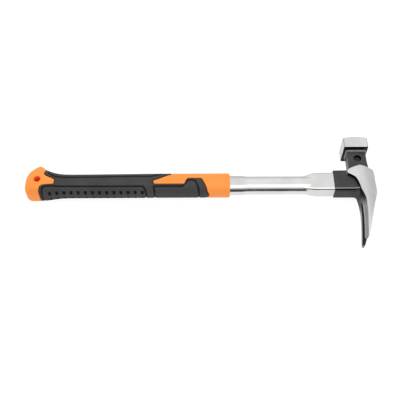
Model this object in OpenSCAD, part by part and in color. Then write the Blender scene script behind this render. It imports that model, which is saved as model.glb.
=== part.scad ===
// Claw hammer with a forged head, a tubular steel handle and a two-colour grip.
// It lies on its side. +X runs along the handle towards the head, +Y is the way
// the striking face looks and +Z is up. The origin is at the middle of the base.

/* [Overall] */
// Length from the butt of the grip to the crown of the head
overall_length = 398; // [396:1:410]
// Height from the striking face to the claw tips
head_height = 135.6; // [134:0.2:137]
// Thickness of the head across its cheeks and claws
cheek_thickness = 26.8; // [26:0.2:27]

/* [Poll] */
// Side of the square striking face block
face_side = 28.2; // [27.6:0.2:28.4]
// Depth of the block behind the striking face
face_depth = 16.2; // [13:0.2:17]
// Radius of the crowned striking face
face_crown_radius = 75; // [60:5:120]
// Diameter of the flat in the middle of the striking face
face_flat_d = 12; // [8:1:14]
// Width of the neck below the block, along the handle
neck_width = 21.6; // [18:0.2:22]
// Thickness of the neck
neck_thickness = 15; // [13:0.5:17]
// Bore for the nail-holding magnet through the neck
magnet_bore_d = 8; // [6:0.5:9]
// Length of the magnet
magnet_length = 9; // [8:0.5:12]

/* [Collar] */
// Length of the collar that shows in front of the cheeks
collar_length = 15; // [12:1:20]
// Depth of the collar across the striking direction
collar_depth = 28.8; // [28:0.2:29]
// Thickness of the collar
collar_thickness = 18.6; // [18:0.2:20]
// Chamfer along the collar's edges
collar_chamfer = 2; // [1:0.5:3]

/* [Nail slot] */
// Width of the slot at the claw tips
slot_mouth = 14; // [9:0.5:14]
// Diameter of the round end of the slot
slot_root_d = 6; // [3:0.2:6]
// Distance from the handle axis to the round end of the slot
slot_root_drop = 28; // [27:1:38]

/* [Tube] */
// Depth of the slim middle of the tube, in the striking direction
tube_depth = 22; // [20:0.2:22.4]
// Thickness of the slim middle of the tube
tube_thickness = 14.6; // [14:0.2:15]
// Wall of the tube
tube_wall = 1.8; // [1.4:0.1:2.2]

/* [Grip] */
// Length of the grip
grip_length = 231.6; // [228:0.2:234]
// Thickness of the rubber over the hard core
rubber_thickness = 1.8; // [1:0.1:2]
// Bore of the hanging hole through the butt
hang_hole_d = 7; // [5:0.5:9]
// Number of grip slots in a row
slot_count = 14; // [4:1:14]
// Distance between grip slots
slot_pitch = 8; // [7:0.1:8.1]
// Depth of the grip slots
slot_depth = 1; // [0.5:0.1:1]

/* [Hidden] */
$fn = 48;
curve_steps = 10;
ring_corner_steps = 6;

// Places along the handle, measured from the middle of its length
crown_x = overall_length / 2;
butt_x = -overall_length / 2;
grip_front_x = butt_x + grip_length;

// Eye of the head, and how far below the crown the tube's end lies in it
eye_inside = 33.3;
eye_offset = 1.4;
eye_recess = 3.6;
collar_start = overall_length - collar_length - eye_inside;
collar_x = butt_x + collar_start;

// The handle axis inside the shared frame
base_z = face_side / 2;
tip_drop = 75;
axis_y = tip_drop - head_height / 2;
face_y = head_height - tip_drop;
axis_offset = 0.6;

// Poll block and neck
block_x = crown_x - 32.7;
neck_x = crown_x - 28.8;
neck_low_y = 10;
block_chamfer = 0.8;
neck_fillet = 1.4;
neck_edge = 0.8;
magnet_x = neck_x + 11.2;
magnet_y = 33.2;

// Middle of the collar, and where its body ends inside the cheeks
collar_y = 2;
collar_to_crown = 11;

// Crown of the head: the cheeks roll over to a narrow flat top
crown_flat = 11.4;
crown_roll_start = 21.5;
crown_roll_mid_x = 11;
crown_roll_mid_z = 1.6;
crown_edge_x = 0.4;

// Depth, thickness and corner radius of the tube in the eye
eye_tube = [17, 11, 5.2];
wedge_length = 14;
plug_length = 12;
tube_start = 45;
tube_butt_x = butt_x + tube_start;
tube_head_x = crown_x - eye_recess;

// Grip details
hang_hole_x = butt_x + 14.4;
hang_hole_y = 1.6;
grip_slot_x = butt_x + 28.9;
grip_slot_size = [2.4, 4.8];
grip_slot_tilt = 16;
grip_corner_r = 8.5;
grip_corner_y = -4;
grip_corner_z = 2.5;

// Point on a cubic curve from a to d with handles b and c
function curve_point(a, b, c, d, t) =
    a * pow(1 - t, 3) + 3 * b * t * pow(1 - t, 2)
    + 3 * c * t * t * (1 - t) + d * pow(t, 3);

// Points along a cubic curve, without its first point
function curve(a, b, c, d) =
    [for (i = [1 : curve_steps]) curve_point(a, b, c, d, i / curve_steps)];

// Side outline of the cheeks and claws, from the crown of the head round by
// the claw tips and the underside back to the pointed cheek
function cheek_outline() =
    let (
        top = [crown_x - 3.4, 17.9],
        crown_top = [crown_x - 0.4, 10],
        crown_low = [crown_x, -10],
        outer_root = [crown_x - 3.6, -21],
        tip_top = [crown_x - 19.2, -tip_drop + 2],
        tip = [crown_x - 21.6, -tip_drop],
        tip_low = [crown_x - 23.6, -tip_drop + 1],
        underside_root = [crown_x - 19.6, -31],
        cheek_low = [crown_x - 32.9, 7.6],
        cheek_tip = [crown_x - 33.3, 12],
        cheek_peak = [crown_x - 17.9, 20.2]
    )
    concat(
        [cheek_peak, [crown_x - 9.5, 18.4], top],
        curve(top, [crown_x - 1.4, 17.4], [crown_x - 0.7, 14], crown_top),
        curve(crown_low, [crown_x, -13], [crown_x - 1.9, -16.4], outer_root),
        curve(outer_root, [crown_x - 7, -32], [crown_x - 13.6, -56], tip_top),
        [tip, tip_low],
        curve(tip_low, [crown_x - 21.4, -60], [crown_x - 19.8, -46], underside_root),
        curve(underside_root, [crown_x - 23.3, -12], [crown_x - 20.3, 0], cheek_low),
        [cheek_tip],
        curve(cheek_tip, [crown_x - 29.3, 17], [crown_x - 21.3, 18], cheek_peak)
    );

// Outline of a rectangle with its corners cut off
function cut_corner_outline(width, height, cut) =
    let (x = width / 2, y = height / 2)
    [
        [x - cut, -y], [x, -y + cut], [x, y - cut], [x - cut, y],
        [cut - x, y], [-x, y - cut], [-x, cut - y], [cut - x, -y]
    ];

// Sections of the grip:
// [distance from the butt, offset in y, depth, thickness, corner radius]
grip_sections = [
    [0, -2.5, 14, 13, 6],
    [1, -1.2, 22, 19.6, 8],
    [3, -0.3, 28.2, 24.6, 9],
    [6, 0.7, 31.2, 27, 9],
    [11, 3, 35.6, 27.6, 9],
    [15.4, 4.3, 38, 27.6, 9],
    [19, 3.4, 36, 27.4, 9],
    [23, 2.2, 32.4, 26.6, 9],
    [30, 0.7, 28.8, 24.8, 9],
    [37, 0.2, 27, 23.2, 8.8],
    [49, 0.1, 25.8, 22, 8.5],
    [90, 0.2, 26, 22, 8.5],
    [150, axis_offset, 26.4, 22, 8.5],
    [grip_length - 1, axis_offset, 26.4, 22, 8.5],
    [grip_length, axis_offset, 24.8, 20.4, 7.7]
];

// Sections of the tube inside the grip, written the same way
tube_foot_sections = [
    [tube_start, axis_offset, 18, 12.6, 5],
    [grip_length - 6, axis_offset, 18, 12.6, 5],
    [grip_length, axis_offset, 20.6, 15, 2.8]
];

// Section at the outer end of the plug that closes the tube
plug_flange_section = [tube_start - 2, axis_offset, 18, 12.6, 5];

// Sections of the tube from the grip to the collar
tube_shank_sections = [
    [grip_length + 16, axis_offset, tube_depth, tube_thickness, tube_thickness / 2 - 0.4],
    [collar_start - 32, axis_offset, tube_depth, tube_thickness, tube_thickness / 2 - 0.4],
    [collar_start - 15, eye_offset, 25.2, 16, 2.8],
    [collar_start, eye_offset, 25.2, 16, 2.8]
];

// Section smaller all round by the wall of the tube
function inside_of(section) = [
    section[0], section[1],
    section[2] - 2 * tube_wall, section[3] - 2 * tube_wall, section[4] - tube_wall
];

// Sections of the hollow in the tube, which narrows before the eye
shank_hollow_sections = [
    for (section = concat(tube_foot_sections, tube_shank_sections))
    if (section[0] < collar_start)
        inside_of(section)
];
plug_section = shank_hollow_sections[0];
eye_hollow_section = inside_of([collar_start, eye_offset, eye_tube[0], eye_tube[1], eye_tube[2]]);

// The same section at another place along the handle
function moved(section, x) = [x, section[1], section[2], section[3], section[4]];

// Points of a rectangle with round corners
function rounded_rectangle(depth, thickness, radius) =
    let (
        y = depth / 2 - radius,
        z = thickness / 2 - radius,
        corners = [[y, z], [-y, z], [-y, -z], [y, -z]]
    )
    [
        for (c = [0 : 3], i = [0 : ring_corner_steps])
        let (angle = 90 * c + 90 * i / ring_corner_steps)
        corners[c] + radius * [cos(angle), sin(angle)]
    ];

// Ring of points around one section, shrunk by inset
function ring(section, inset) = [
    for (point = rounded_rectangle(
        section[2] - 2 * inset, section[3] - 2 * inset, section[4] - inset
    ))
    [butt_x + section[0], section[1] + point[0], point[1]]
];

// Closed solid through a list of sections along the handle
module loft(sections, inset = 0) {
    rings = [for (section = sections) ring(section, inset)];
    count = len(rings[0]);
    last = len(rings) - 1;
    sides = [
        for (k = [0 : last - 1], i = [0 : count - 1])
        let (a = k * count + i, b = k * count + (i + 1) % count)
        each [[a, b + count, b], [a, a + count, b + count]]
    ];
    first_cap = [[for (i = [0 : count - 1]) i]];
    last_cap = [[for (i = [count - 1 : -1 : 0]) last * count + i]];
    polyhedron([for (ring_points = rings) each ring_points], concat(sides, first_cap, last_cap));
}

// The region of the grip that the rubber covers, seen from the side
module rubber_region() {
    reach = 30;
    rear = [
        [butt_x + 24, reach], [butt_x + 22.4, 12], [butt_x + 21.4, 8.8],
        [butt_x + 24, 6.3], [butt_x + 33.6, 2.2], [butt_x + 33.4, -4.3],
        [butt_x + 21, -6.4], [butt_x + 18.4, -8.4], [butt_x + 17, -12.8],
        [butt_x + 18, -17], [butt_x + 20, -reach]
    ];
    front = [
        [grip_front_x - 23, -reach], [grip_front_x - 23.6, -19],
        [grip_front_x - 26.6, -8.5], [grip_front_x - 31, 1.6],
        [grip_front_x - 32.7, 3.5], [grip_front_x - 47.1, 3.5],
        [grip_front_x - 49, 1.8], [grip_front_x - 51.4, -4.2],
        [grip_front_x - 85.4, -4.2], [grip_front_x - 87.2, 0.3],
        [grip_front_x - 78.4, 4], [grip_front_x - 66.6, 9.4],
        [grip_front_x - 58, reach]
    ];
    translate([0, 0, -reach / 2])
        linear_extrude(reach)
            polygon(concat(rear, front));
}

// Rounded-rectangle bar along the handle from one place to another
module bar(from_x, to_x, size) {
    translate([from_x, eye_offset, 0])
        rotate([90, 0, 90])
            linear_extrude(to_x - from_x)
                polygon(rounded_rectangle(size[0], size[1], size[2]));
}

// Square block that carries the striking face, crowned round a flat middle
module poll_block() {
    middle_x = block_x + face_side / 2;
    base_y = face_y - face_depth;
    flat_drop = face_crown_radius - sqrt(pow(face_crown_radius, 2) - pow(face_flat_d / 2, 2));
    intersection() {
        translate([middle_x, base_y, 0])
            rotate([-90, 0, 0])
                linear_extrude(face_depth)
                    polygon(cut_corner_outline(face_side, face_side, block_chamfer));
        translate([middle_x, face_y + flat_drop - face_crown_radius, 0])
            sphere(face_crown_radius, $fn = 96);
    }
}

// Neck between the block and the cheeks, flared where it meets the block
module neck() {
    middle_x = neck_x + neck_width / 2;
    base_y = face_y - face_depth;
    translate([middle_x, neck_low_y, 0])
        rotate([-90, 0, 0])
            linear_extrude(base_y - neck_low_y + 1)
                polygon(cut_corner_outline(neck_width, neck_thickness, neck_edge));
    translate([neck_x - neck_fillet / 2, base_y - neck_fillet, -neck_thickness / 2 - neck_fillet / 2])
        cube([neck_width + neck_fillet, neck_fillet + 1, neck_thickness + neck_fillet]);
}

// Cheeks, crown and claws as one forging
module cheeks_and_claws() {
    intersection() {
        translate([0, 0, -cheek_thickness / 2])
            linear_extrude(cheek_thickness)
                polygon(cheek_outline());
        translate([0, face_y, 0])
            rotate([90, 0, 0])
                linear_extrude(head_height)
                    polygon(crown_outline());
    }
}

// Head seen along the striking direction: flat cheeks, then the rolled crown
function crown_outline() =
    let (
        half = cheek_thickness / 2,
        start = crown_x - crown_roll_start,
        bend = crown_x - crown_roll_mid_x,
        left = crown_x - 40,
        upper = [
            [start, half], [bend, half - crown_roll_mid_z],
            [crown_x - crown_edge_x, crown_flat / 2], [crown_x, 0]
        ],
        lower = [for (i = [2 : -1 : 0]) [upper[i][0], -upper[i][1]]]
    )
    concat([[left, half]], upper, lower, [[left, -half]]);

// Collar that the tube is pressed into, running on to the claws
module collar() {
    translate([collar_x, collar_y, 0])
        rotate([90, 0, 90])
            linear_extrude(crown_x - collar_x - collar_to_crown)
                polygon(cut_corner_outline(collar_depth, collar_thickness, collar_chamfer));
    claw_root();
}

// Curved web between the underside of the collar and the root of the claws
module claw_root() {
    start = [crown_x - 26, collar_y - collar_depth / 2];
    finish = [crown_x - 19.6, start[1] - 8];
    web = concat(
        [start],
        curve(start, [crown_x - 23, start[1]], [crown_x - 20.6, start[1] - 3], finish),
        [[crown_x - collar_to_crown, finish[1]], [crown_x - collar_to_crown, start[1]]]
    );
    translate([0, 0, -collar_thickness / 2])
        linear_extrude(collar_thickness)
            polygon(web);
}

// Tapered slot between the claws, open at their tips
module nail_slot() {
    root_r = slot_root_d / 2;
    slot = [
        [-slot_root_drop, root_r], [-slot_root_drop, -root_r],
        [-tip_drop - 1, -slot_mouth / 2], [-tip_drop - 1, slot_mouth / 2]
    ];
    translate([crown_x - 40, 0, 0])
        rotate([90, 0, 90])
            linear_extrude(60) {
                polygon(slot);
                translate([-slot_root_drop, 0])
                    circle(root_r);
            }
}

// Forged head with its eye, magnet bore and nail slot
module hammer_head() {
    color("silver")
        place()
            difference() {
                union() {
                    poll_block();
                    neck();
                    collar();
                    cheeks_and_claws();
                }
                bar(collar_x - 1, crown_x + 1, eye_tube);
                translate([magnet_x, magnet_y, -cheek_thickness])
                    cylinder(d = magnet_bore_d, h = 2 * cheek_thickness);
                nail_slot();
            }
}

// Magnet that holds a nail against the neck
module nail_magnet() {
    color("dimgray")
        place()
            translate([magnet_x, magnet_y, -magnet_length / 2])
                cylinder(d = magnet_bore_d, h = magnet_length);
}

// Steel tube: slim in the middle, squarer at both ends, round in the eye
module handle_tube() {
    color("lightgray")
        place()
            difference() {
                union() {
                    loft(concat(tube_foot_sections, tube_shank_sections));
                    bar(collar_x, tube_head_x, eye_tube);
                }
                tube_hollow();
            }
}

// Inside of the tube, open at both ends
module tube_hollow() {
    last = shank_hollow_sections[len(shank_hollow_sections) - 1];
    loft(concat(
        [moved(plug_section, tube_start - 1)],
        shank_hollow_sections,
        [moved(last, collar_start - 5)],
        [eye_hollow_section],
        [moved(eye_hollow_section, overall_length)]
    ));
}

// Steel wedge driven into the tube's end at the crown to lock the head
module eye_wedge() {
    tube_end = overall_length - eye_recess;
    color("gray")
        place()
            loft([for (x = [tube_end - wedge_length, tube_end]) moved(eye_hollow_section, x)]);
}

// Plug that keeps the grip's plastic out of the tube
module tube_end_plug() {
    color("black")
        place() {
            loft([plug_section, moved(plug_section, tube_start + plug_length)]);
            loft([plug_flange_section, tube_foot_sections[0]]);
        }
}

// Hard core of the grip, full size where it shows and recessed under the rubber
module grip_core() {
    color("orange")
        place()
            difference() {
                loft(grip_sections);
                intersection() {
                    difference() {
                        loft(grip_sections);
                        loft(grip_sections, rubber_thickness);
                    }
                    rubber_region();
                }
                loft(concat([plug_flange_section], tube_foot_sections));
                translate([hang_hole_x, hang_hole_y, -cheek_thickness])
                    cylinder(d = hang_hole_d, h = 2 * cheek_thickness);
            }
}

// Soft rubber moulded over the core, with a row of slots on each flank
module soft_grip() {
    color("dimgray")
        place()
            difference() {
                intersection() {
                    difference() {
                        loft(grip_sections);
                        loft(grip_sections, rubber_thickness);
                    }
                    rubber_region();
                }
                for (side = [-1, 1], i = [0 : slot_count - 1])
                    grip_slot(grip_slot_x + i * slot_pitch, side);
            }
}

// One slot, cut square to the rounded lower flank of the grip
module grip_slot(x, side) {
    length = 10;
    translate([x, grip_corner_y, side * grip_corner_z])
        rotate([90 - side * grip_slot_tilt, 0, 0])
            translate([0, 0, grip_corner_r - slot_depth + length / 2])
                cube([grip_slot_size[0], grip_slot_size[1], length], center = true);
}

// Moves a piece from the handle axis to the shared frame
module place() {
    translate([0, axis_y, base_z])
        children();
}

hammer_head();
nail_magnet();
handle_tube();
eye_wedge();
tube_end_plug();
grip_core();
soft_grip();
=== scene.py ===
# The looks of the claw hammer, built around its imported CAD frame.
# Shapes are worked out as distance fields in handle coordinates: millimetres,
# with x along the handle, y towards the striking face and z up from the
# middle of the hammer. Each field is turned into a quad mesh by a surface net.
import math
import bpy
import numpy as np
from mathutils import Matrix, Vector


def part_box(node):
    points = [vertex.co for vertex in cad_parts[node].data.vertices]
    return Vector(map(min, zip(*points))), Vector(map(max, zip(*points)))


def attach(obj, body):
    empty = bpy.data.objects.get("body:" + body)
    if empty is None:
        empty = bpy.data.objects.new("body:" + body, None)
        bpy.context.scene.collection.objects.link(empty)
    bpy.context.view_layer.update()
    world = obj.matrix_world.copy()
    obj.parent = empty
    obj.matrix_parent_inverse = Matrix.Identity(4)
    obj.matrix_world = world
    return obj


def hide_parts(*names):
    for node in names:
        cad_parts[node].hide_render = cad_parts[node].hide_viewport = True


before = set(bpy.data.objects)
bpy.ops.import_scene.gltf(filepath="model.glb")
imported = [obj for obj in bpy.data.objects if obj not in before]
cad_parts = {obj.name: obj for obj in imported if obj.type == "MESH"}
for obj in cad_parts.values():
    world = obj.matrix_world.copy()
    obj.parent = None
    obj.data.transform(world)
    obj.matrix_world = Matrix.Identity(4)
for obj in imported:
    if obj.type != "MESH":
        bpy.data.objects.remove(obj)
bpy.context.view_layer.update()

MM = 0.001
TIP_DROP = 75.0
HEAD_LOW, HEAD_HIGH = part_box("hammer_head")
GRIP_LOW, GRIP_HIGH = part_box("grip_core")
AXIS_Y = HEAD_LOW[1] + TIP_DROP * MM
AXIS_Z = (HEAD_LOW[2] + HEAD_HIGH[2]) / 2
CROWN = HEAD_HIGH[0] / MM
FACE = (HEAD_HIGH[1] - AXIS_Y) / MM
COLLAR = HEAD_LOW[0] / MM
BUTT = GRIP_LOW[0] / MM
GRIP_FRONT = GRIP_HIGH[0] / MM


# ---------------------------------------------------------------- fields

def smooth_max(a, b, size):
    """The larger of two fields, with the crease between them rounded over size."""
    gap = np.maximum(size - np.abs(a - b), 0) / size
    return np.maximum(a, b) + gap * gap * size / 4


def smooth_min(a, b, size):
    """The smaller of two fields, with the inner corner between them filled."""
    return -smooth_max(-a, -b, size)


def smooth_step(value, start, end):
    """From 0 at start to 1 at end, easing in and out."""
    t = np.clip((value - start) / (end - start), 0, 1)
    return t * t * (3 - 2 * t)


def through(points, steps=10):
    """Points along one smooth curve through a few given points."""
    p = np.array(points, float)
    gaps = np.sqrt(np.linalg.norm(np.diff(p, axis=0), axis=1))
    t = np.concatenate([[0], np.cumsum(gaps)])
    slope = np.empty_like(p)
    slope[1:-1] = (p[2:] - p[:-2]) / (t[2:] - t[:-2])[:, None]
    slope[0] = (p[1] - p[0]) / gaps[0]
    slope[-1] = (p[-1] - p[-2]) / gaps[-1]
    curve = [p[0]]
    for i, gap in enumerate(gaps):
        for s in np.linspace(0, 1, steps + 1)[1:]:
            curve.append(
                p[i] * (1 + 2 * s) * (1 - s) ** 2 + p[i + 1] * s * s * (3 - 2 * s)
                + slope[i] * gap * s * (1 - s) ** 2 - slope[i + 1] * gap * s * s * (1 - s)
            )
    return [tuple(point) for point in curve]


def line_distance(x, y, points, closed=False):
    """Distance to a line of points, or signed distance to a closed outline."""
    x, y = np.broadcast_arrays(x, y)
    nearest = np.full(x.shape, np.inf)
    inside = np.zeros(x.shape, bool)
    ends = points[1:] + points[:1] if closed else points[1:]
    for (ax, ay), (bx, by) in zip(points, ends):
        dx, dy = bx - ax, by - ay
        t = np.clip(((x - ax) * dx + (y - ay) * dy) / (dx * dx + dy * dy), 0, 1)
        nearest = np.minimum(nearest, (x - ax - t * dx) ** 2 + (y - ay - t * dy) ** 2)
        if closed and ay != by:
            level = (ay > y) != (by > y)
            inside ^= level & (x < ax + dx * (y - ay) / dy)
    return np.where(inside, -1, 1) * np.sqrt(nearest)


def rectangle(u, v, half_u, half_v, radius):
    """Signed distance to a rectangle with round corners."""
    du = np.abs(u) - half_u + radius
    dv = np.abs(v) - half_v + radius
    outside = np.hypot(np.maximum(du, 0), np.maximum(dv, 0))
    return outside + np.minimum(np.maximum(du, dv), 0) - radius


def oval(u, v, half_u, half_v):
    """Distance to an ellipse, exact at its edge and close to right near it."""
    reach = np.maximum(np.hypot(u / half_u, v / half_v), 0.01)
    slope = np.maximum(np.hypot(u / half_u ** 2, v / half_v ** 2), 0.01 / half_v)
    return reach * (reach - 1) / slope


def cut_rectangle(u, v, half_u, half_v, cut, edge):
    """A rectangle with its corners cut off and the cut's edges eased."""
    corner = (np.abs(u) + np.abs(v) - half_u - half_v + cut) / math.sqrt(2)
    return smooth_max(rectangle(u, v, half_u, half_v, 0.2), corner, edge)


# ---------------------------------------------------------------- meshes

def gradient(field, points, step=0.08):
    """Slope and value of a field at each point."""
    value = field(*points.T)
    slope = np.empty_like(points)
    for axis in range(3):
        moved = points.copy()
        moved[:, axis] += step
        slope[:, axis] = (field(*moved.T) - value) / step
    return slope, value


def surface_net(field, low, high, cell):
    """Vertices and quads where the field is zero, one vertex in each crossed cell."""
    axes = [np.arange(low[i], high[i] + cell, cell) for i in range(3)]
    shape = tuple(len(axis) for axis in axes)
    grid = np.broadcast_to(field(
        axes[0][:, None, None], axes[1][None, :, None], axes[2][None, None, :]
    ), shape)
    inside = grid < 0
    corners = [(i, j, k) for i in (0, 1) for j in (0, 1) for k in (0, 1)]

    def corner_part(values, corner):
        return values[tuple(slice(c, n - 1 + c) for c, n in zip(corner, shape))]

    count = sum(corner_part(inside, c).astype(np.int8) for c in corners)
    crossed = (count > 0) & (count < 8)
    cells = np.argwhere(crossed)
    number = np.full(crossed.shape, -1)
    number[crossed] = np.arange(len(cells))

    total = np.zeros((len(cells), 3))
    hits = np.zeros(len(cells))
    for a in corners:
        for axis in range(3):
            if a[axis]:
                continue
            b = tuple(c + (i == axis) for i, c in enumerate(a))
            va = grid[tuple((cells + a).T)]
            vb = grid[tuple((cells + b).T)]
            cut = (va < 0) != (vb < 0)
            t = np.where(cut, va / np.where(cut, va - vb, 1), 0)
            place = np.array(a) + t[:, None] * (np.array(b) - a)
            total += np.where(cut[:, None], place, 0)
            hits += cut
    start = np.array([axis[0] for axis in axes])
    vertices = start + (cells + total / hits[:, None]) * cell

    quads = []
    for axis in range(3):
        u, v = (axis + 1) % 3, (axis + 2) % 3
        first = [slice(None)] * 3
        second = [slice(None)] * 3
        first[axis], second[axis] = slice(0, -1), slice(1, None)
        a, b = inside[tuple(first)], inside[tuple(second)]
        for leaving in (True, False):
            at = np.argwhere(a & ~b if leaving else b & ~a)
            around = []
            for du, dv in ((1, 1), (0, 1), (0, 0), (1, 0)):
                shift = np.zeros(3, int)
                shift[u], shift[v] = -du, -dv
                around.append(number[tuple((at + shift).T)])
            quads.append(np.stack(around if leaving else around[::-1], axis=1))
    return vertices, np.concatenate(quads)


def settle(field, vertices, cell, rounds=3):
    """Moves the net's vertices onto the surface of the field."""
    for _ in range(rounds):
        slope, value = gradient(field, vertices)
        size = np.maximum((slope ** 2).sum(axis=1), 0.2)
        step = -slope * (value / size)[:, None]
        length = np.linalg.norm(step, axis=1, keepdims=True)
        vertices = vertices + step * np.minimum(1, 0.4 * cell / np.maximum(length, 1e-9))
    return vertices


def net_piece(name, node, field, low, high, cell, material, marks=None):
    """Builds one piece from its field, with float attributes from marks."""
    vertices, quads = surface_net(field, low, high, cell)
    vertices = settle(field, vertices, cell)
    mesh = bpy.data.meshes.new(name)
    mesh.vertices.add(len(vertices))
    places = vertices * MM + np.array([0, AXIS_Y, AXIS_Z])
    mesh.vertices.foreach_set("co", places.ravel())
    mesh.loops.add(quads.size)
    mesh.loops.foreach_set("vertex_index", quads.ravel().astype(np.int32))
    mesh.polygons.add(len(quads))
    mesh.polygons.foreach_set("loop_start", np.arange(0, quads.size, 4, dtype=np.int32))
    mesh.update(calc_edges=True)
    mesh.validate()
    mesh.shade_smooth()
    for mark, function in (marks or {}).items():
        attribute = mesh.attributes.new(mark, "FLOAT", "POINT")
        values = np.broadcast_to(function(*vertices.T), len(vertices))
        attribute.data.foreach_set("value", np.clip(values, 0, 1).astype(np.float32))
    mesh.materials.append(material)
    piece = bpy.data.objects.new(name, mesh)
    bpy.context.collection.objects.link(piece)
    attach(piece, "root")
    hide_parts(node)
    print(name, len(quads), "quads")


# ---------------------------------------------------------------- head

FACE_HALF = 14.1
FACE_DEPTH = 16.2
BLOCK_BASE = FACE - FACE_DEPTH
FACE_X = CROWN - 18.6
CROWN_BALL = 75.0
BALL_Y = FACE + 0.24 - CROWN_BALL
NECK_X = CROWN - 18.0
NECK_HALF = (10.8, 7.5)
MAGNET = (CROWN - 17.6, 33.2)
MAGNET_R = 4.0
CHEEK_HALF = 13.4
COLLAR_Y = 2.0
COLLAR_HALF = (14.4, 9.3)
COLLAR_TOP = CROWN - 11.0
SLOT_ROOT_Y = -28.0
SLOT_ROOT_R = 3.0
SLOT_MOUTH_HALF = 7.2
BEAD_Y = COLLAR_Y - COLLAR_HALF[0] + 2.3
BEAD_R = 0.65
# Paint left on the bead and on the step, thinned so that they show bright lines as painted
# highlights.
BEAD_HIGHLIGHT_TONE = 0.45
STEP_HIGHLIGHT_TONE = 0.65
CLAW_TONE = 0.7
EYE_Y = 1.4
EYE_HALF = (8.5, 5.5)
EYE_R = 5.2

OUTER_EDGE = through([
    (CROWN - 1.4, 16.8), (CROWN - 0.5, 11), (CROWN, 3), (CROWN, -6),
    (CROWN - 0.6, -12.5), (CROWN - 3.4, -21), (CROWN - 7.8, -34), (CROWN - 12.6, -50),
    (CROWN - 17, -65), (CROWN - 20, -73.6)
])
UNDER_EDGE = through([
    (CROWN - 23.7, -74.2), (CROWN - 22.4, -64), (CROWN - 21, -52), (CROWN - 19.9, -40),
    (CROWN - 19.5, -30), (CROWN - 19.8, -21), (CROWN - 20.8, -12), (CROWN - 22.7, -3),
    (CROWN - 25.2, 2.6), (CROWN - 29, 5.6), (CROWN - 32.6, 7.8)
])
TOP_EDGE = through([
    (CROWN - 33.2, 12), (CROWN - 30, 15), (CROWN - 24, 17.8), (CROWN - 17.6, 20.2)
])
CHEEK_OUTLINE = (
    OUTER_EDGE + [(CROWN - 21.4, -TIP_DROP)] + UNDER_EDGE + TOP_EDGE
    + [(CROWN - 9.5, 18.4), (CROWN - 3.6, 17.9), (CROWN - 2.2, 17.5)]
)


def block_field(x, y, z):
    """The square block, with its slightly domed striking face."""
    across = cut_rectangle(x - FACE_X, z, FACE_HALF, FACE_HALF, 0.7, 0.5)
    along = np.abs(y - FACE + FACE_DEPTH / 2) - FACE_DEPTH / 2
    block = smooth_max(across, along, 0.9)
    ball = np.sqrt((x - FACE_X) ** 2 + (y - BALL_Y) ** 2 + z * z) - CROWN_BALL
    return smooth_max(block, ball, 1.0)


def neck_field(x, y, z):
    """The neck between the block and the collar."""
    widening = 0.8 * smooth_step(-y, -32, -14)
    across = cut_rectangle(x - NECK_X, z, NECK_HALF[0] + widening, NECK_HALF[1], 0.9, 0.6)
    return smooth_max(across, np.abs(y - 26) - 20.5, 0.3)


def bead_distance(y, z):
    """Distance from the middle of the bead along the collar's lower edge."""
    return np.hypot(y - BEAD_Y, np.abs(z) - COLLAR_HALF[1] + 0.35)


def step_field(x, y, z):
    """The narrow step round the top of the neck, just under the block."""
    across = cut_rectangle(x - NECK_X, z, NECK_HALF[0] + 1, NECK_HALF[1] + 0.8, 1.2, 0.5)
    return smooth_max(across, np.abs(y - BLOCK_BASE - 0.2) - 1.9, 0.7)


def collar_field(x, y, z):
    """The collar round the tube, with a bead along its lower edge."""
    across = cut_rectangle(y - COLLAR_Y, z, *COLLAR_HALF, 2.4, 1.2)
    across = smooth_min(across, bead_distance(y, z) - BEAD_R, 0.4)
    along = np.abs(x - (COLLAR + COLLAR_TOP) / 2) - (COLLAR_TOP - COLLAR) / 2
    return smooth_max(across, along, 0.9)


def claw_bevel_width(y):
    """How far the bevel along a claw's underside reaches, growing over its root."""
    return 3.1 * smooth_step(-y, 8, 26)


def bevel_mark(y, under):
    """1 on that bevel, where under is the distance from the claw's lower edge."""
    return smooth_step(claw_bevel_width(y) - under, -0.3, 0.2) * (y < -8)


def cheek_field(x, y, z):
    """The cheeks and the claws, rolled over the crown and bevelled underneath."""
    height = np.abs(z)
    outline = line_distance(x, y, CHEEK_OUTLINE, closed=True)
    rolled = height - CHEEK_HALF + 0.011 * np.maximum(x - CROWN + 23, 0) ** 2
    facet = (x - CROWN + 0.4) * 0.5 + (height - 5.7) * 0.866
    top = x - CROWN + 0.015 * height ** 2
    side = smooth_max(rolled, smooth_max(facet, top, 1.2), 1.2)
    under = line_distance(x, y, UNDER_EDGE)
    under_bevel = (height - CHEEK_HALF + 0.45 * (claw_bevel_width(y) - under)) * 0.91
    return smooth_max(smooth_max(outline, side, 0.8), under_bevel, 0.7)


def nail_slot_field(y, z):
    """The gap between the claws, round at its root and widest at the tips."""
    along = np.clip((SLOT_ROOT_Y - y) / (TIP_DROP + SLOT_ROOT_Y), 0, 1.2)
    half = SLOT_ROOT_R + (SLOT_MOUTH_HALF - SLOT_ROOT_R) * along ** 0.6
    root = np.hypot(y - SLOT_ROOT_Y, z) - SLOT_ROOT_R
    return np.where(y < SLOT_ROOT_Y, np.abs(z) - half, root)


def slot_wall(y, z):
    """1 on the walls of the nail slot."""
    return smooth_step(-nail_slot_field(y, z), -0.5, -0.2)


def magnet_bore(x, y):
    """The bore through the neck that holds the magnet."""
    return np.hypot(x - MAGNET[0], y - MAGNET[1]) - MAGNET_R


def bore_wall(x, y):
    """1 in the magnet's bore and round its rim."""
    return smooth_step(0.6 - magnet_bore(x, y), 0, 0.3)


def eye_section(y, z, inset=0.0):
    """The eye's outline across the handle, or one inside it by inset."""
    return rectangle(
        y - EYE_Y, z, EYE_HALF[0] - inset, EYE_HALF[1] - inset, EYE_R - inset
    )


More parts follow.
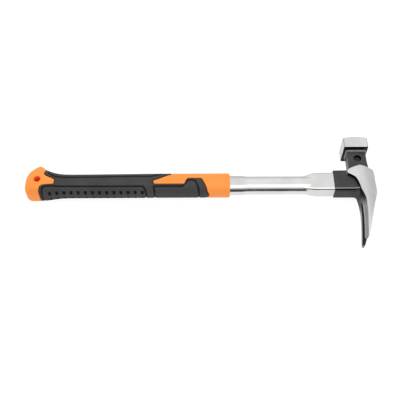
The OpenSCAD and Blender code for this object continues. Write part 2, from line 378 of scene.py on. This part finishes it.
def head_field(x, y, z):
    neck = smooth_min(neck_field(x, y, z), step_field(x, y, z), 0.6)
    poll = smooth_min(block_field(x, y, z), neck, 0.8)
    web = 1.4 + 4.6 * smooth_step(-y, 3, 10) * smooth_step(-np.abs(z), -11.5, -9)
    eye_end = smooth_min(collar_field(x, y, z), cheek_field(x, y, z), web)
    head = smooth_min(poll, eye_end, 1.4)
    head = smooth_max(head, -magnet_bore(x, y), 0.9)
    head = smooth_max(head, -nail_slot_field(y, z), 0.9)
    return smooth_max(head, -eye_section(y, z), 0.8)


def head_paint(x, y, z):
    """1 where paint is left in the recesses, 0 where the forging is ground bright; the paint is
    thinned along the bead and the step as painted highlights, and thins down the claws.
    """
    painted = np.minimum(neck_field(x, y, z), collar_field(x, y, z))
    polished = np.minimum(block_field(x, y, z), cheek_field(x, y, z))
    recess = smooth_step(polished - painted, -0.25, 0.35)
    below_block = smooth_step(BLOCK_BASE - y, -0.7, -0.2) * (y > 30)
    outline = line_distance(x, y, CHEEK_OUTLINE, closed=True)
    under = line_distance(x, y, UNDER_EDGE)
    edge = smooth_step(-under, -0.9, -0.4) * (y < 16)
    web = (outline > 0.1) * (under < 6) * (y < 5)
    bevel = bevel_mark(y, under)
    # The paint along the cheeks' edges and the claws' bevels is darkest near the root and thins to
    # CLAW_TONE down the claws.
    claw_paint_fade = 1 - (1 - CLAW_TONE) * smooth_step(-y, 24, 36)
    cheek_edge = np.maximum.reduce([edge, web, bevel]) * claw_paint_fade
    slot = slot_wall(y, z)
    paint = np.maximum.reduce([recess, below_block, cheek_edge, slot, bore_wall(x, y)])
    # Painted highlights: the paint is thinned along the bead, partly worn to bare steel, and along
    # the step under the block.
    bead = smooth_step(-np.abs(y - BEAD_Y - 0.05), -0.6, -0.3) * (np.abs(z) > 8) * (outline > 0)
    step = smooth_step(-step_field(x, y, z), -0.4, -0.1) * (y < BLOCK_BASE - 0.2)
    return paint * (1 - (1 - BEAD_HIGHLIGHT_TONE) * bead) * (1 - (1 - STEP_HIGHLIGHT_TONE) * step)


def head_painted_shade(x, y, z):
    """Painted shade: 1 in the deep corners where no light gets in, where the black paint is taken
    to near black.
    """
    outline = line_distance(x, y, CHEEK_OUTLINE, closed=True)
    below_block = (
        smooth_step(BLOCK_BASE - y, -0.9, -0.5)
        * smooth_step(y, BLOCK_BASE - 1.2, BLOCK_BASE - 0.6)
    )
    below_bead = (
        smooth_step(BEAD_Y - y, 0.3, 0.7)
        * smooth_step(y, BEAD_Y - 2, BEAD_Y - 1) * (outline > 0)
    )
    off_collar = (np.abs(z) > COLLAR_HALF[1] - 1) * (y < 14)
    cheek_wall = smooth_step(-np.abs(outline), -1.3, -0.7) * off_collar
    bevel = bevel_mark(y, line_distance(x, y, UNDER_EDGE))
    cheek_wall = np.maximum(cheek_wall, bevel) * smooth_step(y, -34, -20)
    slot = 0.6 * slot_wall(y, z)
    return np.maximum.reduce([below_block, below_bead, cheek_wall, slot, bore_wall(x, y)])


def block_side_painted_shade(x, y, z):
    """Painted shade: 1 on the sides of the block, whose steel is coloured darker there as a painted
    darker reflection.
    """
    return smooth_step(np.abs(x - FACE_X), 12.5, 13.6) * (y > BLOCK_BASE - 0.6)


# ---------------------------------------------------------------- grip

GRIP_HALF = 11.0
GRIP_R = 8.5
BUTT_HALF = 13.8
BUTT_R = 9.0
RUBBER = 1.8
HANG_HOLE = (BUTT + 14.4, 1.6)
HANG_HOLE_R = 3.5
SLOT_START = BUTT + 28.9
SLOT_PITCH = 8.0
SLOT_COUNT = 14

GRIP_OUTLINE = (
    [(GRIP_FRONT + 20, 13.8), (GRIP_FRONT - 60, 13.8)]
    + through([
        (BUTT + 150, 13.8), (BUTT + 90, 13.2), (BUTT + 55, 13), (BUTT + 42, 13.3),
        (BUTT + 34, 14.2), (BUTT + 27, 16.2), (BUTT + 21, 19.6), (BUTT + 17.6, 22.1),
        (BUTT + 14.8, 22.8), (BUTT + 11.6, 21.4), (BUTT + 6.2, 17), (BUTT + 2.4, 12.2),
        (BUTT + 0.4, 6), (BUTT, -1), (BUTT + 0.4, -8), (BUTT + 2.4, -12.6),
        (BUTT + 6, -14.6), (BUTT + 13, -14.9), (BUTT + 24, -14.2), (BUTT + 40, -13.1),
        (BUTT + 60, -12.8), (BUTT + 90, -12.8), (BUTT + 150, -12.6)
    ])
    + [(GRIP_FRONT - 60, -12.6), (GRIP_FRONT + 20, -12.6)]
)
RUBBER_REAR = [
    (BUTT + 26, 30), (BUTT + 22.4, 12), (BUTT + 21.4, 8.8), (BUTT + 24, 6.3),
    (BUTT + 33.6, 2.2), (BUTT + 33.4, -4.3), (BUTT + 21, -6.4), (BUTT + 18.4, -8.4),
    (BUTT + 17, -12.8), (BUTT + 18, -17), (BUTT + 20, -30)
]
RUBBER_FRONT = [
    (GRIP_FRONT - 22.6, -30), (GRIP_FRONT - 23.6, -19), (GRIP_FRONT - 26.6, -8.5),
    (GRIP_FRONT - 31, 1.6), (GRIP_FRONT - 32.7, 3.5), (GRIP_FRONT - 47.1, 3.5),
    (GRIP_FRONT - 49, 1.8), (GRIP_FRONT - 51.4, -4.2), (GRIP_FRONT - 85.4, -4.2),
    (GRIP_FRONT - 87.2, 0.3), (GRIP_FRONT - 78.4, 4), (GRIP_FRONT - 66.6, 9.4),
    (GRIP_FRONT - 57, 30)
]


def grip_body(x, y, z):
    """The whole grip, core and rubber together, thicker at the butt."""
    outline = line_distance(x, y, GRIP_OUTLINE, closed=True)
    at_butt = smooth_step(-x, -BUTT - 46, -BUTT - 18)
    half = GRIP_HALF + (BUTT_HALF - GRIP_HALF) * at_butt
    radius = GRIP_R + (BUTT_R - GRIP_R) * at_butt
    along = outline + radius
    up = np.abs(z) - half + radius
    outside = np.hypot(np.maximum(along, 0), np.maximum(up, 0))
    body = outside + np.minimum(np.maximum(along, up), 0) - radius
    return smooth_max(body, x - GRIP_FRONT, 1.6)


def rubber_region(x, y, z):
    """The side view of the rubber, its front edge sloping on down the flanks."""
    down = np.clip(7 - np.abs(z), 0, 7) * smooth_step(-y, 8, 11.5)
    flank = down * smooth_step(x, BUTT + 170, BUTT + 190)
    return line_distance(x - 0.3 * flank, y, RUBBER_REAR + RUBBER_FRONT, closed=True)


def core_field(x, y, z):
    """The hard core: the grip less its rubber, the hanging hole and the tube."""
    body = grip_body(x, y, z)
    rubber = smooth_max(rubber_region(x, y, z), -(body + RUBBER), 0.4)
    core = smooth_max(body, -rubber, 1.5)
    hole = np.hypot(x - HANG_HOLE[0], y - HANG_HOLE[1]) - HANG_HOLE_R
    core = smooth_max(core, -hole, 1.8)
    return smooth_max(core, -tube_field(x, y, z), 0.3)


def hang_hole_painted_light(x, y, z):
    """1 inside the hanging hole, where the plastic is painted a deeper red-orange as painted shade
    and bounced light.
    """
    radius = np.hypot(x - HANG_HOLE[0], y - HANG_HOLE[1])
    return smooth_step(HANG_HOLE_R + 0.7 - radius, 0, 0.6)


GROOVES = [
    through([(BUTT + 26, 10.5), (BUTT + 30, 7.6), (BUTT + 38, 5.6), (BUTT + 84, 5.6),
             (BUTT + 124, 6.4), (BUTT + 141, 6.3), (BUTT + 149, 8), (BUTT + 156, 11)]),
    through([(BUTT + 20.4, -17), (BUTT + 20.6, -12), (BUTT + 22.4, -9), (BUTT + 29, -7.4),
             (BUTT + 42, -6.9), (BUTT + 86, -7.1), (BUTT + 133, -7.1)])
    + [(BUTT + 135.4, -9), (BUTT + 137.4, -13), (BUTT + 139, -30)],
    [(BUTT + 147.6, -30), (BUTT + 147, -13), (BUTT + 145.6, -7.2), (BUTT + 178, -7.2),
     (BUTT + 181.4, -3.8), (BUTT + 183.6, 0.8), (BUTT + 191.6, 0.8), (BUTT + 194, -3.6),
     (BUTT + 196.4, -10), (BUTT + 198, -30)],
]
GROOVE_HALF = 1.3
GROOVE_DEPTH = 1.0
# How near to black the grooves' floors are painted, as painted shade.
GROOVE_SHADE = 0.85
SLOT_HALF = (1.4, 2.3)
SLOT_DEPTH = 1.05
SLOT_TILT = math.radians(16)
FLANK_Y = -4.0
FLANK_Z = 2.5


def groove_amount(x, y):
    """From 0 beside the grooves to 1 along the middle of one."""
    nearest = np.minimum.reduce([line_distance(x, y, groove) for groove in GROOVES])
    return np.clip(1 - nearest / GROOVE_HALF, 0, 1)


def grip_slot_field(x, y, z):
    """The row of slots, laid out round the lower flank."""
    number = np.clip(np.round((x - SLOT_START) / SLOT_PITCH), 0, SLOT_COUNT - 1)
    along = x - SLOT_START - number * SLOT_PITCH
    angle = np.arctan2(np.abs(z) - FLANK_Z, FLANK_Y - y)
    return rectangle(along, GRIP_R * (angle - SLOT_TILT), *SLOT_HALF, 0.5)


def rubber_field(x, y, z):
    """The rubber skin, with its grooves and its row of slots."""
    body = grip_body(x, y, z) + GROOVE_DEPTH * groove_amount(x, y)
    slots = np.maximum(grip_slot_field(x, y, z), -(body + SLOT_DEPTH))
    rubber = smooth_max(body, -slots, 0.4)
    rubber = smooth_max(rubber, rubber_region(x, y, z) + 0.15, 1.5)
    return smooth_max(rubber, -(grip_body(x, y, z) + RUBBER + 0.1), 0.4)


def rubber_hollow(x, y, z):
    """How deep a point of the rubber lies in a groove or a slot, from 0 to 1, as painted shade
    towards near black.
    """
    depth = -grip_body(x, y, z)
    slot = grip_slot_field(x, y, z) < 0.25
    groove = GROOVE_SHADE * smooth_step(depth, 0.05, 0.45)
    return np.where(slot, smooth_step(depth, 0.05, 0.35), groove)


def core_hollow(x, y, z):
    """How far the core's edge turns down beside the rubber, from 0 to 1, as painted shade that
    darkens the orange there.
    """
    at_hole = np.hypot(x - HANG_HOLE[0], y - HANG_HOLE[1]) < HANG_HOLE_R + 2
    turned_down = smooth_step(-grip_body(x, y, z), 0.15, 0.8) * (x < GRIP_FRONT - 3)
    return np.where(at_hole, 0, turned_down)


# ---------------------------------------------------------------- tube

TUBE_FOOT = BUTT + 45.0
TUBE_Y = 0.6
TUBE_END = CROWN - 3.6
TUBE_WALL = 1.8
MIDDLE_FLAT = 3.4
MIDDLE_ROUND = (7.8, 7.3)
FOOT_HALF = (9.0, 6.3)
FOOT_R = 5.0
SHANK_HALF = (8.8, 6.0)
SHANK_R = 2.4
SWELL_HALF = (3.4, 1.8)


def tube_field(x, y, z):
    """The tube without its bore: foot in the grip, oval middle, swelled head end, eye."""
    grip_end = smooth_step(-x, -GRIP_FRONT - 22, -GRIP_FRONT - 12)
    past_flat = np.maximum(np.abs(y - TUBE_Y) - MIDDLE_FLAT - 0.8 * grip_end, 0)
    middle = oval(past_flat, z, MIDDLE_ROUND[0], MIDDLE_ROUND[1] + 0.25 * grip_end)
    foot = rectangle(y - TUBE_Y, z, *FOOT_HALF, FOOT_R)
    swell = smooth_step(x, COLLAR - 39, COLLAR - 19)
    half_y = SHANK_HALF[0] + SWELL_HALF[0] * swell
    half_z = SHANK_HALF[1] + SWELL_HALF[1] * swell
    head_end = rectangle(y - TUBE_Y - 0.8 * swell, z, half_y, half_z, SHANK_R)
    shank = smooth_min(middle, head_end, 0.4)
    inside_grip = smooth_step(x, GRIP_FRONT - 8, GRIP_FRONT - 2)
    outer = foot * (1 - inside_grip) + shank * inside_grip
    tube = smooth_max(outer, x - COLLAR - 0.5, 0.3)
    tube = np.minimum(tube, np.maximum(eye_section(y, z), COLLAR - 2 - x))
    return smooth_max(smooth_max(tube, x - TUBE_END, 0.5), TUBE_FOOT - x, 0.5)


def tube_piece_field(x, y, z):
    """The tube with the open end that the wedge sits in."""
    mouth = np.maximum(eye_section(y, z, TUBE_WALL), TUBE_END - 14 - x)
    return smooth_max(tube_field(x, y, z), -mouth, 0.5)


def wedge_field(x, y, z):
    """The wedge in the tube's end, slimmer inwards, with a groove across its face."""
    wedge = eye_section(y, z, TUBE_WALL) + 0.02 * (TUBE_END - x)
    groove = np.clip(1 - np.abs(z) / 0.9, 0, 1) * 0.7
    face = x - TUBE_END + 0.4 + groove + 0.01 * ((y - EYE_Y) ** 2 + z * z)
    return smooth_max(smooth_max(wedge, face, 0.8), TUBE_END - 13 - x, 0.5)


def magnet_field(x, y, z):
    """The magnet, with a shallow dish in each end."""
    side = magnet_bore(x, y) + 0.05
    dish = 0.25 * smooth_step(-np.hypot(x - MAGNET[0], y - MAGNET[1]), -3.2, -2.2)
    return smooth_max(side, np.abs(z) - 4.5 + dish, 0.8)


# ---------------------------------------------------------------- materials

NO_LIGHT = (0.001, 0.001, 0.001)


class Nodes:
    """Short calls for building a material's nodes."""

    def __init__(self, name):
        self.material = bpy.data.materials.new(name)
        self.material.use_nodes = True
        self.tree = self.material.node_tree
        self.shader = self.tree.nodes["Principled BSDF"]
        coordinates = self.tree.nodes.new("ShaderNodeTexCoord")
        self.place = coordinates.outputs["Object"]

    def link(self, output, socket):
        self.tree.links.new(output, socket)

    def stretched(self, scale):
        node = self.tree.nodes.new("ShaderNodeMapping")
        node.inputs["Scale"].default_value = scale
        self.link(self.place, node.inputs["Vector"])
        return node.outputs["Vector"]

    def noise(self, scale, detail=3.0, stretch=None):
        node = self.tree.nodes.new("ShaderNodeTexNoise")
        node.inputs["Scale"].default_value = scale
        node.inputs["Detail"].default_value = detail
        self.link(self.stretched(stretch) if stretch else self.place, node.inputs["Vector"])
        return node.outputs["Fac"]

    def spread(self, value, low, high):
        """A noise's middle range, spread from low to high."""
        node = self.tree.nodes.new("ShaderNodeMapRange")
        node.inputs["From Min"].default_value = 0.35
        node.inputs["From Max"].default_value = 0.65
        node.inputs["To Min"].default_value = low
        node.inputs["To Max"].default_value = high
        self.link(value, node.inputs["Value"])
        return node.outputs["Result"]

    def mark(self, name):
        node = self.tree.nodes.new("ShaderNodeAttribute")
        node.attribute_name = name
        return node.outputs["Fac"]

    def math(self, operation, a, b):
        node = self.tree.nodes.new("ShaderNodeMath")
        node.operation = operation
        for socket, value in zip(node.inputs, (a, b)):
            if isinstance(value, (int, float)):
                socket.default_value = value
            else:
                self.link(value, socket)
        return node.outputs["Value"]

    def mix_colour(self, factor, first, second):
        node = self.tree.nodes.new("ShaderNodeMix")
        node.data_type = "RGBA"
        self.link(factor, node.inputs["Factor"])
        for socket, value in ((node.inputs[6], first), (node.inputs[7], second)):
            if isinstance(value, tuple):
                socket.default_value = (*value, 1)
            else:
                self.link(value, socket)
        return node.outputs[2]

    def mix_value(self, factor, first, second):
        node = self.tree.nodes.new("ShaderNodeMix")
        self.link(factor, node.inputs["Factor"])
        for socket, value in ((node.inputs[2], first), (node.inputs[3], second)):
            if isinstance(value, (int, float)):
                socket.default_value = value
            else:
                self.link(value, socket)
        return node.outputs[0]

    def bump(self, height, distance, after=None):
        node = self.tree.nodes.new("ShaderNodeBump")
        node.inputs["Distance"].default_value = distance
        node.inputs["Strength"].default_value = 1.0
        self.link(height, node.inputs["Height"])
        if after:
            self.link(after, node.inputs["Normal"])
        return node.outputs["Normal"]

    def finish(self, colour, roughness, normal=None):
        self.link(colour, self.shader.inputs["Base Color"])
        self.link(roughness, self.shader.inputs["Roughness"])
        if normal:
            self.link(normal, self.shader.inputs["Normal"])
        return self.material


def steel_parts(nodes, grain):
    """Colour, roughness and height of polished steel, with its grain along one way."""
    cloud = nodes.noise(30, 3)
    scratches = nodes.noise(900, 2, grain)
    clouds = nodes.spread(cloud, 0, 1)
    colour = nodes.mix_colour(clouds, (0.62, 0.62, 0.615), (0.69, 0.69, 0.685))
    scratch_rough = nodes.spread(scratches, 0.12, 0.24)
    roughness = nodes.math("ADD", scratch_rough, nodes.spread(cloud, 0, 0.06))
    return colour, roughness, scratches


def head_material():
    nodes = Nodes("polished_and_painted_steel")
    paint = nodes.mark("paint")
    steel, steel_rough, scratches = steel_parts(nodes, (0.12, 0.06, 1))
    peel = nodes.noise(700, 2)
    patches = nodes.noise(60, 3)
    black = nodes.mix_colour(
        nodes.spread(patches, 0, 1), (0.043, 0.043, 0.044), (0.056, 0.056, 0.057)
    )
    nodes.link(nodes.math("SUBTRACT", 1.0, paint), nodes.shader.inputs["Metallic"])
    nodes.link(nodes.math("MULTIPLY", paint, 0.1), nodes.shader.inputs["Coat Weight"])
    nodes.shader.inputs["Coat Roughness"].default_value = 0.12
    nodes.shader.inputs["Specular IOR Level"].default_value = 0.12
    height = nodes.mix_value(paint, nodes.math("MULTIPLY", scratches, 0.12), peel)
    # Painted shade: the steel is taken darker on the block's sides, standing in for a darker
    # reflection there.
    steel = nodes.mix_colour(nodes.mark("side"), steel, (0.43, 0.43, 0.43))
    # Painted shade: this mark takes the black paint to near black in the deep corners.
    black = nodes.mix_colour(nodes.mark("painted_shade"), black, NO_LIGHT)
    return nodes.finish(
        nodes.mix_colour(paint, steel, black),
        nodes.mix_value(paint, steel_rough, nodes.spread(patches, 0.36, 0.46)),
        nodes.bump(height, 0.00004),
    )


def tube_material():
    nodes = Nodes("polished_tube_steel")
    colour, roughness, scratches = steel_parts(nodes, (0.03, 1, 1))
    nodes.shader.inputs["Metallic"].default_value = 1.0
    waves = nodes.noise(45, 1, (0.25, 1, 1))
    normal = nodes.bump(waves, 0.00012)
    return nodes.finish(colour, roughness, nodes.bump(scratches, 0.000006, after=normal))


def wedge_material():
    nodes = Nodes("wedge_steel")
    colour, roughness, scratches = steel_parts(nodes, (1, 1, 1))
    nodes.shader.inputs["Metallic"].default_value = 1.0
    darker = nodes.mix_colour(nodes.spread(nodes.noise(200), 0.2, 0.7), colour, (0.3, 0.3, 0.3))
    return nodes.finish(darker, nodes.math("ADD", roughness, 0.15), nodes.bump(scratches, 0.00002))


def magnet_material():
    nodes = Nodes("magnet")
    nodes.shader.inputs["Metallic"].default_value = 0.6
    grain = nodes.noise(500, 4)
    colour = nodes.mix_colour(nodes.spread(grain, 0, 1), (0.012, 0.012, 0.013), (0.03, 0.03, 0.032))
    return nodes.finish(colour, nodes.spread(grain, 0.4, 0.6), nodes.bump(grain, 0.00003))


def orange_material():
    nodes = Nodes("orange_plastic")
    cloud = nodes.noise(25, 3)
    texture = nodes.noise(1100, 2)
    nodes.shader.inputs["Specular IOR Level"].default_value = 0.3
    colour = nodes.mix_colour(nodes.spread(cloud, 0, 1), (0.95, 0.285, 0.045), (0.99, 0.32, 0.06))
    # Painted shade: the orange is darkened where its edge turns down beside the rubber.
    colour = nodes.mix_colour(nodes.mark("hollow"), colour, (0.22, 0.04, 0.01))
    # Painted shade and bounced light: the hanging hole's wall is painted a deeper red-orange.
    colour = nodes.mix_colour(nodes.mark("hole"), colour, (1.0, 0.17, 0.04))
    return nodes.finish(colour, nodes.spread(texture, 0.38, 0.5), nodes.bump(texture, 0.00003))


def rubber_material():
    nodes = Nodes("black_rubber")
    nodes.shader.inputs["Specular IOR Level"].default_value = 0.15
    hollow = nodes.mark("hollow")
    texture = nodes.noise(1400, 3)
    cloud = nodes.noise(40, 4)
    colour = nodes.mix_colour(
        nodes.spread(cloud, 0, 1), (0.046, 0.046, 0.047), (0.056, 0.056, 0.057)
    )
    # Painted shade: the grooves and slots are taken to near black by their depth.
    colour = nodes.mix_colour(hollow, colour, NO_LIGHT)
    return nodes.finish(colour, nodes.spread(texture, 0.55, 0.7), nodes.bump(texture, 0.00006))


def plug_material():
    nodes = Nodes("plug_plastic")
    texture = nodes.noise(900, 2)
    colour = nodes.mix_colour(nodes.spread(texture, 0, 1), (0.03, 0.03, 0.03), (0.05, 0.05, 0.05))
    return nodes.finish(colour, nodes.spread(texture, 0.5, 0.6), nodes.bump(texture, 0.00003))


# ---------------------------------------------------------------- stage

VIEW_PITCH = math.radians(33.44)
VIEW_ROLL = math.radians(-0.24)
SENSOR = 36.0
LENS = 61.119
CAMERA_DISTANCE = 0.774225
CAMERA_DROP = 0.015961
CAMERA_SIDE = -0.001254
FLOOR_HALF = 4.0
FLOOR_Z = -0.0002


def make_camera():
    """A camera at CAMERA_DISTANCE metres, a little below the line to the hammer."""
    data = bpy.data.cameras.new("camera")
    data.sensor_width = SENSOR
    data.lens = LENS
    data.clip_start = 0.01
    data.clip_end = 20.0
    camera = bpy.data.objects.new("camera", data)
    back = Vector((0.0, -math.sin(VIEW_PITCH), math.cos(VIEW_PITCH)))
    up = Vector((0.0, math.cos(VIEW_PITCH), math.sin(VIEW_PITCH)))
    target = Vector((CAMERA_SIDE, AXIS_Y, AXIS_Z))
    place = Matrix.Translation(target + back * CAMERA_DISTANCE - up * CAMERA_DROP)
    turn = Matrix.Rotation(VIEW_PITCH, 4, "X") @ Matrix.Rotation(VIEW_ROLL, 4, "Z")
    camera.matrix_world = place @ turn
    bpy.context.collection.objects.link(camera)
    bpy.context.scene.camera = camera


def make_floor():
    """A pale floor, just below the hammer so that no two faces coincide."""
    mesh = bpy.data.meshes.new("floor")
    corners = [(-1, -1), (1, -1), (1, 1), (-1, 1)]
    places = [(a * FLOOR_HALF, b * FLOOR_HALF, FLOOR_Z) for a, b in corners]
    mesh.from_pydata(places, [], [(0, 1, 2, 3)])
    floor = bpy.data.objects.new("floor", mesh)
    bpy.context.collection.objects.link(floor)
    material = bpy.data.materials.new("floor")
    material.use_nodes = True
    shader = material.node_tree.nodes["Principled BSDF"]
    shader.inputs["Base Color"].default_value = (0.2, 0.2, 0.2, 1)
    shader.inputs["Roughness"].default_value = 0.9
    shader.inputs["Specular IOR Level"].default_value = 0.0
    shader.inputs["Emission Color"].default_value = (1, 1, 1, 1)
    shader.inputs["Emission Strength"].default_value = 0.9
    mesh.materials.append(material)


def make_world():
    """A white studio, brightest overhead and darkest low on the -Y side."""
    world = bpy.data.worlds.new("studio")
    bpy.context.scene.world = world
    world.use_nodes = True
    nodes = world.node_tree.nodes
    link = world.node_tree.links.new
    coordinates = nodes.new("ShaderNodeTexCoord")
    split = nodes.new("ShaderNodeSeparateXYZ")
    link(coordinates.outputs["Generated"], split.inputs["Vector"])
    ramp = nodes.new("ShaderNodeValToRGB")
    level = nodes.new("ShaderNodeMapRange")
    level.inputs["From Min"].default_value = -1.0
    level.inputs["From Max"].default_value = 1.0
    link(split.outputs["Y"], level.inputs["Value"])
    link(level.outputs["Result"], ramp.inputs["Fac"])
    stops = [
        (0.0, 0.05), (0.09, 0.08), (0.15, 0.4), (0.23, 0.95),
        (0.42, 1.25), (0.6, 1.2), (0.85, 1.0)
    ]
    while len(ramp.color_ramp.elements) < len(stops):
        ramp.color_ramp.elements.new(0.5)
    for element, (place, bright) in zip(ramp.color_ramp.elements, stops):
        element.position = place
        element.color = (bright, bright, bright, 1)
    horizon = nodes.new("ShaderNodeMapRange")
    horizon.inputs["From Max"].default_value = 0.8
    horizon.inputs["To Min"].default_value = 0.62
    horizon.inputs["To Max"].default_value = 1.0
    link(split.outputs["Z"], horizon.inputs["Value"])
    background = nodes["Background"]
    link(ramp.outputs["Color"], background.inputs["Color"])
    link(horizon.outputs["Result"], background.inputs["Strength"])


def area_light(name, location, target, size, power, in_gloss=True):
    data = bpy.data.lights.new(name, "AREA")
    data.shape = "RECTANGLE"
    data.size, data.size_y = size
    data.energy = power
    light = bpy.data.objects.new(name, data)
    light.location = location
    light.visible_glossy = in_gloss
    direction = Vector(target) - Vector(location)
    light.rotation_euler = direction.to_track_quat("-Z", "Y").to_euler()
    bpy.context.collection.objects.link(light)


def make_pieces():
    """One detailed piece for each CAD node but the plug, which keeps its own mesh."""
    net_piece(
        "head", "hammer_head", head_field,
        (COLLAR - 2, -TIP_DROP - 2, -15.4), (CROWN + 2, FACE + 2, 15.4), 0.5,
        head_material(),
        # Besides the paint, these marks carry painted shade in the deep corners and a painted
        # darker reflection on the block's sides.
        {"paint": head_paint, "painted_shade": head_painted_shade, "side": block_side_painted_shade},
    )
    net_piece(
        "core", "grip_core", core_field,
        (BUTT - 2, -17, -15.2), (GRIP_FRONT + 2, 26, 15.2), 0.6,
        orange_material(),
        {"hole": hang_hole_painted_light, "hollow": core_hollow},
    )
    net_piece(
        "rubber", "soft_grip", rubber_field,
        (BUTT + 12, -17, -15.2), (GRIP_FRONT - 18, 22, 15.2), 0.6,
        rubber_material(), {"hollow": rubber_hollow},
    )
    # This grid starts off round values, so that none of its planes falls on a
    # flat of the eye, which would leave faces without area.
    net_piece(
        "tube", "handle_tube", tube_piece_field,
        (TUBE_FOOT - 2, -14.17, -10.13), (TUBE_END + 2, 16, 10.1), 0.6,
        tube_material(),
    )
    net_piece(
        "wedge", "eye_wedge", wedge_field,
        (TUBE_END - 15, -8, -6.1), (TUBE_END + 1, 10, 6.1), 0.4,
        wedge_material(),
    )
    net_piece(
        "magnet", "nail_magnet", magnet_field,
        (MAGNET[0] - 5, MAGNET[1] - 5, -6.5), (MAGNET[0] + 5, MAGNET[1] + 5, 6.5), 0.35,
        magnet_material(),
    )
    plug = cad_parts["tube_end_plug"]
    plug.data.materials.clear()
    plug.data.materials.append(plug_material())


make_camera()
make_floor()
make_world()
area_light("overhead", (0.0, 0.15, 1.6), (0, 0, 0), (2.6, 1.2), 6)
area_light("low_fill", (0.0, -0.95, 0.4), (0, 0, 0), (2.4, 0.7), 2.8, in_gloss=False)
bpy.context.scene.view_settings.view_transform = "Standard"
make_pieces()
